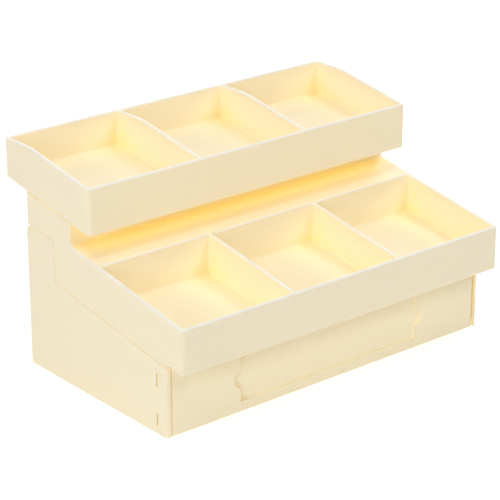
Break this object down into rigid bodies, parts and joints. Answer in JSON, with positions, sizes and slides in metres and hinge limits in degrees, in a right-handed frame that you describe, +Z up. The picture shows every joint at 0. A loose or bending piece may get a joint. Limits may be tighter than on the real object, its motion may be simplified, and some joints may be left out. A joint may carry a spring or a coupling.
{
  "type": "art supply box",
  "caption": "Stepped desk box for art supplies: a panelled base closed by a stepped compartment tray, with an upper compartment tray that lifts off its neck.",
  "frame": {"origin": "centre of the underside of the whole box's bounding box, on the table", "axes": "+X to the right along the compartments, +Y to the back, +Z up"},
  "size_m": [0.262, 0.1788, 0.1477],
  "materials": {
    "panel_plastic": "satin moulded cream plastic",
    "tray_plastic": "satin moulded cream plastic"
  },
  "bodies": {
    "base": {"floor_panel": "panel_plastic", "left_side_panel": "panel_plastic", "right_side_panel": "panel_plastic", "front_panel": "panel_plastic", "rear_panel": "panel_plastic"},
    "stepped_tray": {"stepped_tray": "tray_plastic"},
    "upper_tray": {"upper_tray": "tray_plastic"}
  },
  "joints": [
    {"name": "stepped_tray_lift", "type": "slide", "parent": "base", "child": "stepped_tray", "axis": [0, 0, 1], "range_m": [0, 0.1]},
    {"name": "upper_tray_lift", "type": "slide", "parent": "stepped_tray", "child": "upper_tray", "axis": [0, 0, 1], "range_m": [0, 0.06]}
  ]
}
